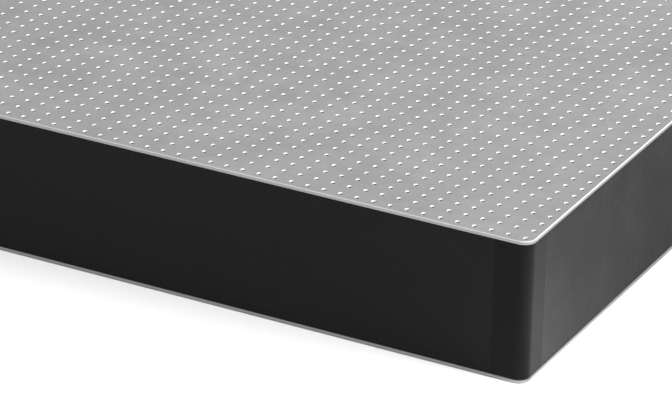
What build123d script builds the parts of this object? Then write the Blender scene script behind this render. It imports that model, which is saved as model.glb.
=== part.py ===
from build123d import *
import os

# Optical table top: two steel skins over a honeycomb core, black side panels and moulded corner trims.
# Millimetres. The origin is the centre of the underside, +X runs along the length and +Z is up.

# Working surface
hole_pitch = 25.0
holes_along = 48
holes_across = 36
edge_to_first_hole = 12.5
table_height = 210.0

# Tapped holes, drawn as plain bores at the tapping size
tapping_radius = 2.5

# Skins
skin_thickness = 5.0
skin_corner_radius = 18.0
skin_edge_chamfer = 1.2

# Side panels and corner trims
panel_inset = 1.2
panel_thickness = 2.0
trim_stand_out = 0.4
trim_leg = 52.0
trim_edge_round = 0.9

# Honeycomb core, a solid block with a groove below each row of holes for the screw ends
groove_width = 13.0
groove_depth = 26.0

# Sizes that follow from the ones above
table_length = (holes_along - 1) * hole_pitch + 2 * edge_to_first_hole
table_width = (holes_across - 1) * hole_pitch + 2 * edge_to_first_hole
core_height = table_height - 2 * skin_thickness
core_base = skin_thickness
core_top = table_height - skin_thickness
lining_inset = panel_inset + panel_thickness
trim_inset = panel_inset - trim_stand_out


def grid_line(count):
    """Places along one axis for a count of holes at the pitch, centred on the table."""
    first = -(count - 1) * hole_pitch / 2
    return [first + step * hole_pitch for step in range(count)]


# Places of the holes along a row, and of the rows across the table
hole_places = grid_line(holes_along)
row_places = grid_line(holes_across)


def rounded_block(inset, base, height):
    """A block with the table's outline, moved in by the inset, with its upright corners rounded."""
    block = Box(
        table_length - 2 * inset,
        table_width - 2 * inset,
        height,
        align=(Align.CENTER, Align.CENTER, Align.MIN),
    )
    block = fillet(block.edges().filter_by(Axis.Z), skin_corner_radius - inset)
    return Pos(0, 0, base) * block


def make_plain_top():
    """The top skin before drilling: a rounded plate with its upper rim chamfered."""
    plate = rounded_block(0, core_top, skin_thickness)
    return chamfer(plate.faces().sort_by(Axis.Z)[-1].edges(), skin_edge_chamfer)


def make_bottom_skin():
    """The bottom skin: a rounded plate with both of its rims chamfered."""
    plate = rounded_block(0, 0, skin_thickness)
    return chamfer(plate.faces().filter_by(Axis.Z).edges(), skin_edge_chamfer)


def band_limits(row_y):
    """Where the band of plate that belongs to one row of holes begins and ends across the table."""
    low = -table_width / 2 if row_y == row_places[0] else row_y - hole_pitch / 2
    high = table_width / 2 if row_y == row_places[-1] else row_y + hole_pitch / 2
    return low, high


def slice_of(plate, low, high):
    """The part of the plate between two places across the table."""
    cutter = Box(table_length, high - low, table_height)
    return plate & (Pos(0, (low + high) / 2, core_top) * cutter)


def drilled_face(face, row_y):
    """The flat face with one tapping circle cut out for each hole of the row."""
    level = face.center().Z
    circles = [
        Wire.make_circle(tapping_radius, Plane(origin=(x, row_y, level), z_dir=(0, 0, 1)))
        for x in hole_places
    ]
    return Face(face.outer_wire(), circles)


def make_top_sheet(rows):
    """The part of the top skin that holds these rows of holes, its flats in one band for each row."""
    sheet_low = band_limits(rows[0])[0]
    sheet_high = band_limits(rows[-1])[1]
    plate = make_plain_top()
    bore = Solid.make_cylinder(tapping_radius, skin_thickness, Plane(origin=(0, 0, core_top)))
    bore_wall = bore.faces().filter_by(GeomType.CYLINDER)[0]

    sheet_faces = []
    for row_y in rows:
        low, high = band_limits(row_y)
        band = slice_of(plate, low, high)
        flats = band.faces().filter_by(Axis.Z)
        ends = band.faces().filter_by(Axis.Y)
        seams = [
            end
            for end in ends
            if sheet_low + tapping_radius < end.center().Y < sheet_high - tapping_radius
        ]
        sheet_faces += [face for face in band.faces() if face not in flats and face not in seams]
        sheet_faces += [drilled_face(face, row_y) for face in flats]
        sheet_faces += [bore_wall.moved(Location((x, row_y, 0))) for x in hole_places]
    return Solid(Shell(sheet_faces))


def make_core():
    """The honeycomb core as one block, with a groove along each row of holes."""
    core = rounded_block(lining_inset, core_base, core_height)
    groove = Box(
        table_length,
        groove_width,
        groove_depth,
        align=(Align.CENTER, Align.CENTER, Align.MAX),
    )
    return core - [Pos(0, row_y, core_top) * groove for row_y in row_places]


def make_long_panel(side):
    """The panel along one long side, between two corner trims. The side is 1 or -1 along Y."""
    centre = side * (table_width / 2 - panel_inset - panel_thickness / 2)
    panel = Box(table_length - 2 * trim_leg, panel_thickness, core_height)
    return Pos(0, centre, table_height / 2) * panel


def make_short_panel(side):
    """The panel along one short side, between two corner trims. The side is 1 or -1 along X."""
    centre = side * (table_length / 2 - panel_inset - panel_thickness / 2)
    panel = Box(panel_thickness, table_width - 2 * trim_leg, core_height)
    return Pos(centre, 0, table_height / 2) * panel


def make_trim(side_x, side_y):
    """The moulded trim around one corner, its outer top and bottom edges rounded."""
    outside = rounded_block(trim_inset, core_base, core_height)
    outside = fillet(outside.faces().filter_by(Axis.Z).edges(), trim_edge_round)
    inside = rounded_block(lining_inset, core_base, core_height)
    corner = Pos(side_x * table_length / 2, side_y * table_width / 2, table_height / 2)
    reach = corner * Box(2 * trim_leg, 2 * trim_leg, table_height)
    return (outside - inside) & reach


def build():
    """Every piece by name."""
    middle_row = holes_across // 2
    return {
        "top_skin_front": make_top_sheet(row_places[:middle_row]),
        "top_skin_back": make_top_sheet(row_places[middle_row:]),
        "bottom_skin": make_bottom_skin(),
        "core": make_core(),
        "panel_front": make_long_panel(-1),
        "panel_back": make_long_panel(1),
        "panel_left": make_short_panel(-1),
        "panel_right": make_short_panel(1),
        "trim_front_left": make_trim(-1, -1),
        "trim_front_right": make_trim(1, -1),
        "trim_back_left": make_trim(-1, 1),
        "trim_back_right": make_trim(1, 1),
    }


os.makedirs("parts", exist_ok=True)
for name, piece in build().items():
    export_step(piece, f"parts/{name}.step")
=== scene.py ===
import math
import bpy
from mathutils import Matrix, Vector


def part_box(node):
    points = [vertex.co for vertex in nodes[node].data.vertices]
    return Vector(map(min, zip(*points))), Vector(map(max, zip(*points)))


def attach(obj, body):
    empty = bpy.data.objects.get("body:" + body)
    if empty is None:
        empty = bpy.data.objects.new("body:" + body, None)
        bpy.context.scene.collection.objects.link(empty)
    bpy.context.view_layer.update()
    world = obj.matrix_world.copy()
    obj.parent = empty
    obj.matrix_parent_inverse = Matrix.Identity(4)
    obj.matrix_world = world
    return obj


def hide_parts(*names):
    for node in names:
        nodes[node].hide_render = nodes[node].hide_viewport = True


# Optical table top, dressed for the photo's view. Metres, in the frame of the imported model.
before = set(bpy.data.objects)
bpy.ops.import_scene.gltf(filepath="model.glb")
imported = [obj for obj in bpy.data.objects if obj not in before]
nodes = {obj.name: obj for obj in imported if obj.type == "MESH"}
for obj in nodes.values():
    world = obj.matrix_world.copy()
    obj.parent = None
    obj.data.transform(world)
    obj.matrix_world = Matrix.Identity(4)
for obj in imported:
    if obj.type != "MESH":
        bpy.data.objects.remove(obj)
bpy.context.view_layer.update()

# Tapped holes of the working surface
hole_pitch = 0.025
tapping_radius = 0.0025
countersink_radius = 0.00375
thread_pitch = 0.001
ring_steps = 16

# Rim of the working surface
skin_chamfer = 0.0012
skin_corner_radius = 0.018
corner_steps = 12

# Sealed cups below the holes
cup_radius = 0.0055
cup_bore_radius = 0.0042
cup_depth = 0.024
cup_floor = 0.0015
cup_gap = 0.0001
cup_steps = 8

# Sizes that follow from the frame
front_low, front_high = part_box("top_skin_front")
back_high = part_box("top_skin_back")[1]
half_length = front_high[0]
half_width = back_high[1]
surface_level = front_high[2]
underside_level = front_low[2]
sink_level = surface_level - (countersink_radius - tapping_radius)
holes_along = round(2 * half_length / hole_pitch)
holes_across = round(2 * half_width / hole_pitch)
cells = [(column, row) for column in range(holes_along) for row in range(holes_across)]

# Material slots of the working surface, in the order of its materials
surface_slot, side_slot, chamfer_slot, sink_slot, thread_slot = range(5)

# Shading: mesh edges that bend more than this stay sharp
sharp_angle = math.radians(30)

# Where the values of noise mostly lie and those of waves lie, and the length of one wave at a scale of 1
noise_ends = (0.3, 0.7)
wave_ends = (0.0, 1.0)
wave_length = math.pi / 10

# Camera, fitted to the holes and edges in the photo, its place counted from the front right corner hole
camera_offset = Vector((1.97557, -4.28736, 2.26151))
camera_heading = Vector((-0.421312, 0.800124, -0.426964))
camera_roll = math.radians(1.0689)
camera_reach = 50.0
focal_length_in_pixels = 3995.04
image_width_in_pixels = 672
sensor_width_in_mm = 36.0

# Studio
floor_reach = 30.0
floor_gap = 0.0002
brighter_towards = (0.5, 0.5, 1.7)
least_brightness = 0.15

# Soft lights: name, place, point faced, side, power in watts, and whether shiny metal shows it
soft_lights = (
    ("top_light", (2.2, -2.2, 2.3), (0.4, -0.7, 0.0), 3.2, 105.0, False),
    ("right_floor_light", (0.76, -0.4, 0.25), (0.76, -0.4, 0.0), 0.1, 1.6, False),
    ("edge_light", (1.5, 1.35, 1.1), (0.6, -0.3, 0.2), 0.7, 1.6, True),
)


def new_piece(name, mesh, materials):
    """Puts a mesh in the scene as a piece that rides on the table."""
    piece = bpy.data.objects.new(name, mesh)
    bpy.context.scene.collection.objects.link(piece)
    for material in materials:
        mesh.materials.append(material)
    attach(piece, "root")
    return piece


# Material nodes
def plain_material(name, metallic=0.0, roughness=0.5, specular=0.5, gray=0.5):
    """A node material with its shader's fixed values set on the shader itself."""
    material = bpy.data.materials.new(name)
    material.use_nodes = True
    shader = material.node_tree.nodes["Principled BSDF"]
    shader.inputs["Base Color"].default_value = (gray, gray, gray, 1.0)
    shader.inputs["Metallic"].default_value = metallic
    shader.inputs["Roughness"].default_value = roughness
    shader.inputs["Specular IOR Level"].default_value = specular
    return material, shader


def add_noise(material, scale, detail=3.0, roughness=0.5, stretch=(1.0, 1.0, 1.0)):
    """Noise in the frame's own metres, its scale counted per metre."""
    tree = material.node_tree
    place = tree.nodes.new("ShaderNodeTexCoord")
    mapping = tree.nodes.new("ShaderNodeMapping")
    mapping.inputs["Scale"].default_value = stretch
    noise = tree.nodes.new("ShaderNodeTexNoise")
    noise.inputs["Scale"].default_value = scale
    noise.inputs["Detail"].default_value = detail
    noise.inputs["Roughness"].default_value = roughness
    tree.links.new(place.outputs["Object"], mapping.inputs["Vector"])
    tree.links.new(mapping.outputs["Vector"], noise.inputs["Vector"])
    return noise.outputs["Fac"]


def add_rings(material, pitch):
    """Waves up the Z axis, one to each pitch."""
    tree = material.node_tree
    place = tree.nodes.new("ShaderNodeTexCoord")
    rings = tree.nodes.new("ShaderNodeTexWave")
    rings.bands_direction = "Z"
    rings.inputs["Scale"].default_value = wave_length / pitch
    tree.links.new(place.outputs["Object"], rings.inputs["Vector"])
    return rings.outputs["Fac"]


def spread(material, value, low, high, ends=noise_ends):
    """Spreads a value that lies between two ends over the range from low to high."""
    node = material.node_tree.nodes.new("ShaderNodeMapRange")
    node.inputs["From Min"].default_value = ends[0]
    node.inputs["From Max"].default_value = ends[1]
    node.inputs["To Min"].default_value = low
    node.inputs["To Max"].default_value = high
    material.node_tree.links.new(value, node.inputs["Value"])
    return node.outputs["Result"]


def add_sum(material, first, second):
    """The sum of two values."""
    node = material.node_tree.nodes.new("ShaderNodeMath")
    node.operation = "ADD"
    material.node_tree.links.new(first, node.inputs[0])
    material.node_tree.links.new(second, node.inputs[1])
    return node.outputs["Value"]


def set_tone(material, shader, value):
    """Makes the shader's colour a grey of this value."""
    node = material.node_tree.nodes.new("ShaderNodeCombineColor")
    for channel in ("Red", "Green", "Blue"):
        material.node_tree.links.new(value, node.inputs[channel])
    material.node_tree.links.new(node.outputs["Color"], shader.inputs["Base Color"])


def set_roughness(material, shader, value):
    """Ties the shader's roughness to this value."""
    material.node_tree.links.new(value, shader.inputs["Roughness"])


def add_bump(material, shader, height, strength, distance):
    """Fine relief on the surface, its distance in metres."""
    node = material.node_tree.nodes.new("ShaderNodeBump")
    node.inputs["Strength"].default_value = strength
    node.inputs["Distance"].default_value = distance
    material.node_tree.links.new(height, node.inputs["Height"])
    material.node_tree.links.new(node.outputs["Normal"], shader.inputs["Normal"])


def one_noise_material(name, scale, tones, polish, detail=2.0, stretch=(1.0, 1.0, 1.0), **fixed):
    """A material whose tone and roughness follow one noise, each over its own range."""
    material, shader = plain_material(name, **fixed)
    noise = add_noise(material, scale, detail=detail, stretch=stretch)
    set_tone(material, shader, spread(material, noise, *tones))
    set_roughness(material, shader, spread(material, noise, *polish))
    return material


# Materials
def surface_steel():
    """Matte ground stainless, with soft clouds, smaller patches and a fine grain."""
    material, shader = plain_material("surface_steel", metallic=1.0)
    clouds = add_noise(material, scale=9.0, detail=4.0, roughness=0.55)
    patches = add_noise(material, scale=38.0, detail=3.0, roughness=0.6)
    grain = add_noise(material, scale=900.0, detail=2.0, roughness=0.7)
    tone = spread(material, clouds, 0.36, 0.423)
    tone = add_sum(material, tone, spread(material, patches, -0.02, 0.02))
    tone = add_sum(material, tone, spread(material, grain, -0.015, 0.015))
    polish = spread(material, clouds, 0.36, 0.44)
    polish = add_sum(material, polish, spread(material, patches, -0.03, 0.03))
    set_tone(material, shader, tone)
    set_roughness(material, shader, polish)
    add_bump(material, shader, grain, strength=0.15, distance=0.00002)
    return material


def edge_steel(name, darkest, lightest):
    """Machined steel, finely streaked along the edges of the skins; its tone range is set per edge as
    painted highlight or painted shade.
    """
    return one_noise_material(
        name,
        scale=60.0,
        tones=(darkest, lightest),
        polish=(0.16, 0.24),
        detail=3.0,
        stretch=(1.0, 1.0, 20.0),
        metallic=1.0,
    )


def countersink_painted_highlight():
    """The cut cone at the mouth of each hole, its steel painted near white as a painted highlight."""
    return one_noise_material(
        "countersink_painted_highlight", scale=500.0, tones=(0.86, 0.94), polish=(0.2, 0.3), metallic=1.0
    )


def thread_painted_shade():
    """The tapped wall of each hole, ringed at the thread's pitch; painted darker than the skin as painted
    shade down the bore, darkest in each ring's groove.
    """
    material, shader = plain_material("thread_painted_shade", metallic=1.0)
    rings = add_rings(material, thread_pitch)
    set_tone(material, shader, spread(material, rings, 0.2, 0.45, wave_ends))
    set_roughness(material, shader, spread(material, rings, 0.4, 0.3, wave_ends))
    add_bump(material, shader, rings, strength=0.8, distance=0.0003)
    return material


def powder_coat():
    """Black satin powder coat with a fine orange peel."""
    material, shader = plain_material("powder_coat", specular=0.12)
    peel = add_noise(material, scale=450.0, roughness=0.6, stretch=(1.0, 0.45, 1.0))
    clouds = add_noise(material, scale=14.0, detail=4.0)
    tone = spread(material, peel, 0.0, 0.004)
    tone = add_sum(material, tone, spread(material, clouds, 0.0, 0.0015))
    set_tone(material, shader, tone)
    set_roughness(material, shader, spread(material, clouds, 0.42, 0.5))
    add_bump(material, shader, peel, strength=1.0, distance=0.0009)
    return material


def moulded_trim():
    """Black moulded plastic with a fine even grain."""
    material, shader = plain_material("moulded_trim", specular=0.04)
    grain = add_noise(material, scale=1500.0, detail=2.0, roughness=0.6)
    clouds = add_noise(material, scale=25.0)
    set_tone(material, shader, spread(material, grain, 0.004, 0.009))
    set_roughness(material, shader, spread(material, clouds, 0.33, 0.39))
    add_bump(material, shader, grain, strength=0.25, distance=0.0001)
    return material


def cup_plastic():
    """Dark nylon of the sealed cups."""
    return one_noise_material(
        "cup_plastic", scale=800.0, tones=(0.02, 0.035), polish=(0.5, 0.6), specular=0.4
    )


def core_steel():
    """Plain foil steel of the core, inside the table."""
    return one_noise_material(
        "core_steel", scale=60.0, tones=(0.3, 0.4), polish=(0.4, 0.55), metallic=1.0
    )


# Outlines, as lists of X and Y
def hole_centre(column, row):
    """The middle of a hole, columns counted from the left and rows from the front."""
    return -half_length + (column + 0.5) * hole_pitch, -half_width + (row + 0.5) * hole_pitch


def ring(centre, radius, steps):
    """Points of a circle, anticlockwise."""
    angles = [2 * math.pi * step / steps for step in range(steps)]
    return [(centre[0] + radius * math.cos(a), centre[1] + radius * math.sin(a)) for a in angles]


def corner_arc(sign_x, sign_y, inset):
    """Points round one rounded corner of the skin, anticlockwise from above."""
    radius = skin_corner_radius - inset
    centre_x = sign_x * (half_length - skin_corner_radius)
    centre_y = sign_y * (half_width - skin_corner_radius)
    start = {(1, 1): 0.0, (-1, 1): 0.5, (-1, -1): 1.0, (1, -1): 1.5}[(sign_x, sign_y)] * math.pi
    angles = [start + step * math.pi / 2 / corner_steps for step in range(corner_steps + 1)]
    return [(centre_x + radius * math.cos(a), centre_y + radius * math.sin(a)) for a in angles]


def cell_border(column, row, inset):
    """The outline of the square of skin round one hole, anticlockwise, rounded at the table's corners."""
    points = []
    for step_x, step_y in ((0, 0), (1, 0), (1, 1), (0, 1)):
        x = -half_length + (column + step_x) * hole_pitch
        y = -half_width + (row + step_y) * hole_pitch
        outer_x = abs(x) > half_length - hole_pitch / 2
        outer_y = abs(y) > half_width - hole_pitch / 2
        sign_x = 1 if x > 0 else -1
        sign_y = 1 if y > 0 else -1
        if outer_x and outer_y:
            points += corner_arc(sign_x, sign_y, inset)
        else:
            x = sign_x * (half_length - inset) if outer_x else x
            y = sign_y * (half_width - inset) if outer_y else y
            points.append((x, y))
    return points


def table_outline(inset):
    """The outline of the whole skin, anticlockwise, with a point at each cell's corner."""
    along = [-half_length + column * hole_pitch for column in range(1, holes_along)]
    across = [-half_width + row * hole_pitch for row in range(1, holes_across)]
    edge_x = half_length - inset
    edge_y = half_width - inset
    front = [(x, -edge_y) for x in along] + corner_arc(1, -1, inset)
    right = [(edge_x, y) for y in across] + corner_arc(1, 1, inset)
    back = [(x, edge_y) for x in reversed(along)] + corner_arc(-1, 1, inset)
    left = [(-edge_x, y) for y in reversed(across)] + corner_arc(-1, -1, inset)
    return front + right + back + left


# Working surface
class MeshMaker:
    """Collects points and faces, sharing points that lie in one place."""

    def __init__(self):
        self.points = []
        self.index = {}
        self.faces = []
        self.slots = []

    def point(self, x, y, z):
        """The number of the point at this place, to a thousandth of a millimetre."""
        key = (round(x, 6), round(y, 6), round(z, 6))
        if key not in self.index:
            self.index[key] = len(self.points)
            self.points.append((x, y, z))
        return self.index[key]

    def loop(self, outline, level):
        """The numbers of an outline's points at one level."""
        return [self.point(x, y, level) for x, y in outline]

    def face(self, corners, slot):
        """Adds one face with its material slot."""
        self.faces.append(corners)
        self.slots.append(slot)

    def band(self, lower, upper, slot):
        """Adds quads between two closed loops with as many points."""
        count = len(lower)
        for here in range(count):
            after = (here + 1) % count
            self.face((lower[here], lower[after], upper[after], upper[here]), slot)

    def finish(self, name):
        """The mesh of all that was added, smooth but for its sharp edges."""
        mesh = bpy.data.meshes.new(name)
        mesh.from_pydata(self.points, [], self.faces)
        mesh.polygons.foreach_set("material_index", self.slots)
        mesh.polygons.foreach_set("use_smooth", [True] * len(self.faces))
        mesh.update()
        mesh.set_sharp_from_angle(angle=sharp_angle)
        return mesh


def turned_from(centre, start, point):
    """How far the point lies round the centre from the start angle, within one turn."""
    angle = math.atan2(point[1] - centre[1], point[0] - centre[0])
    return (angle - start) % (2 * math.pi)


def stitch(maker, centre, inner, outer, level, upward):
    """Fills the skin between a hole's rim and its cell's outline with triangles."""
    start = math.atan2(outer[0][1] - centre[1], outer[0][0] - centre[0])
    inner = sorted(inner, key=lambda point: turned_from(centre, start, point))
    inner_turns = [turned_from(centre, start, point) for point in inner]
    inner_turns.append(inner_turns[0] + 2 * math.pi)
    outer_turns = [turned_from(centre, start, point) for point in outer] + [2 * math.pi]
    outer_turns[0] = 0.0
    inner_points = maker.loop(inner, level)
    outer_points = maker.loop(outer, level)
    inner_done = 0
    outer_done = 0
    while inner_done < len(inner) or outer_done < len(outer):
        corners = [inner_points[inner_done % len(inner)], outer_points[outer_done % len(outer)]]
        inner_next = outer_done == len(outer)
        if inner_done < len(inner) and outer_done < len(outer):
            inner_next = inner_turns[inner_done + 1] <= outer_turns[outer_done + 1]
        if inner_next:
            inner_done += 1
            corners.append(inner_points[inner_done % len(inner)])
        else:
            outer_done += 1
            corners.append(outer_points[outer_done % len(outer)])
        maker.face(corners if upward else corners[::-1], surface_slot)


def add_cell(maker, column, row):
    """The skin round one hole: its top, its underside, the countersink and the bore wall."""
    centre = hole_centre(column, row)
    mouth = ring(centre, countersink_radius, ring_steps)
    bore = ring(centre, tapping_radius, ring_steps)
    stitch(maker, centre, mouth, cell_border(column, row, skin_chamfer), surface_level, True)
    stitch(maker, centre, bore, cell_border(column, row, 0.0), underside_level, False)
    mouth_loop = maker.loop(mouth, surface_level)
    sink_loop = maker.loop(bore, sink_level)
    bottom_loop = maker.loop(bore, underside_level)
    maker.band(mouth_loop, sink_loop, sink_slot)
    maker.band(sink_loop, bottom_loop, thread_slot)


def add_rim(maker):
    """The skin's upright edge, with the chamfer above it."""
    foot = maker.loop(table_outline(0.0), underside_level)
    shoulder = maker.loop(table_outline(0.0), surface_level - skin_chamfer)
    brink = maker.loop(table_outline(skin_chamfer), surface_level)
    maker.band(foot, shoulder, side_slot)
    maker.band(shoulder, brink, chamfer_slot)


def make_surface(materials):
    """The top skin as one sheet, with a countersunk tapped hole in the middle of each cell."""
    maker = MeshMaker()
    for column, row in cells:
        add_cell(maker, column, row)
    add_rim(maker)
    piece = new_piece("working_surface", maker.finish("working_surface"), materials)
    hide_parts("top_skin_front", "top_skin_back")


# Sealed cups
def cup_profile():
    """Radius and level of a cup's turned outline, from its outer foot over its rim to its inner floor."""
    rim_level = underside_level - cup_gap
    foot_level = rim_level - cup_depth
    return (
        (cup_radius, foot_level),
        (cup_radius, rim_level),
        (cup_bore_radius, rim_level),
        (cup_bore_radius, foot_level + cup_floor),
    )


def make_cups(material):
    """The sealed cup that hangs below each hole, all of them in one mesh."""
    points = []
    faces = []
    for column, row in cells:
        loops = []
        for radius, level in cup_profile():
            first = len(points)
            points += [(x, y, level) for x, y in ring(hole_centre(column, row), radius, cup_steps)]
            loops.append([first + step for step in range(cup_steps)])
        for lower, upper in zip(loops, loops[1:]):
            for here in range(cup_steps):
                after = (here + 1) % cup_steps
                faces.append((lower[here], lower[after], upper[after], upper[here]))
        faces.append(tuple(reversed(loops[0])))
        faces.append(tuple(loops[-1]))
    mesh = bpy.data.meshes.new("sealed_cups")
    mesh.from_pydata(points, [], faces)
    mesh.update()
    new_piece("sealed_cups", mesh, [material])


# Finishes of the solids
def repaint(name, material):
    """Gives a carried-over solid its finish."""
    mesh = nodes[name].data
    mesh.materials.clear()
    mesh.materials.append(material)


def repaint_solids():
    """Finishes every solid that the scene keeps as it is."""
    coat = powder_coat()
    trim = moulded_trim()
    # The bottom skin's steel is painted darker than the top skin's steel: painted shade.
    repaint("bottom_skin", edge_steel("lower_steel_painted_shade", darkest=0.23, lightest=0.27))
    repaint("core", core_steel())
    for side in ("front", "back", "left", "right"):
        repaint(f"panel_{side}", coat)
    for corner in ("front_left", "front_right", "back_left", "back_right"):
        repaint(f"trim_{corner}", trim)


# Camera and studio
def make_camera():
    """The photo's camera, placed from the hole nearest to the front right corner."""
    corner_hole = Vector((half_length - hole_pitch / 2, -half_width + hole_pitch / 2, surface_level))
    data = bpy.data.cameras.new("camera")
    data.sensor_width = sensor_width_in_mm
    data.lens = focal_length_in_pixels / image_width_in_pixels * sensor_width_in_mm
    data.clip_end = camera_reach
    camera = bpy.data.objects.new("camera", data)
    turn = camera_heading.to_track_quat("-Z", "Y").to_matrix() @ Matrix.Rotation(camera_roll, 3, "Z")
    camera.matrix_world = Matrix.Translation(corner_hole + camera_offset) @ turn.to_4x4()
    bpy.context.scene.collection.objects.link(camera)
    bpy.context.scene.camera = camera


def make_floor():
    """A plain white floor just below the table."""
    signs = ((-1, -1), (1, -1), (1, 1), (-1, 1))
    mesh = bpy.data.meshes.new("floor")
    mesh.from_pydata([(x * floor_reach, y * floor_reach, 0.0) for x, y in signs], [], [(0, 1, 2, 3)])
    floor = bpy.data.objects.new("floor", mesh)
    floor.location.z = -floor_gap
    bpy.context.scene.collection.objects.link(floor)
    mesh.materials.append(plain_material("floor", roughness=0.9, specular=0.1, gray=0.9)[0])


def make_surroundings():
    """Pale surroundings, brightest overhead and towards the back right."""
    world = bpy.data.worlds.new("studio")
    world.use_nodes = True
    tree = world.node_tree
    background = tree.nodes["Background"]
    background.inputs["Color"].default_value = (1.0, 1.0, 1.0, 1.0)
    heading = tree.nodes.new("ShaderNodeTexCoord")
    slope = tree.nodes.new("ShaderNodeVectorMath")
    slope.operation = "DOT_PRODUCT"
    slope.inputs[1].default_value = brighter_towards
    brightness = tree.nodes.new("ShaderNodeMath")
    brightness.operation = "MAXIMUM"
    brightness.inputs[1].default_value = least_brightness
    tree.links.new(heading.outputs["Generated"], slope.inputs[0])
    tree.links.new(slope.outputs["Value"], brightness.inputs[0])
    tree.links.new(brightness.outputs["Value"], background.inputs["Strength"])
    bpy.context.scene.world = world


def add_soft_light(name, place, aim, side, power, reflected):
    """A square soft light that faces a point and that the camera doesn't see itself."""
    data = bpy.data.lights.new(name, "AREA")
    data.shape = "SQUARE"
    data.size = side
    data.energy = power
    light = bpy.data.objects.new(name, data)
    heading = Vector(aim) - Vector(place)
    light.visible_camera = False
    light.visible_glossy = reflected
    light.matrix_world = Matrix.Translation(place) @ heading.to_track_quat("-Z", "Y").to_matrix().to_4x4()
    bpy.context.scene.collection.objects.link(light)


def make_studio():
    """A white floor, pale surroundings and soft lights."""
    bpy.context.scene.view_settings.view_transform = "Standard"
    make_floor()
    make_surroundings()
    for soft_light in soft_lights:
        add_soft_light(*soft_light)


def main():
    make_surface([
        surface_steel(),
        # The skin's upright edge is painted darker than its top: painted shade on the same steel.
        edge_steel("side_steel_painted_shade", darkest=0.24, lightest=0.29),
        # The chamfer's steel is painted far lighter than the skin's own steel: painted highlight along
        # the rim.
        edge_steel("chamfer_steel_painted_highlight", darkest=0.62, lightest=0.70),
        countersink_painted_highlight(),
        thread_painted_shade(),
    ])
    make_cups(cup_plastic())
    repaint_solids()
    make_camera()
    make_studio()


main()
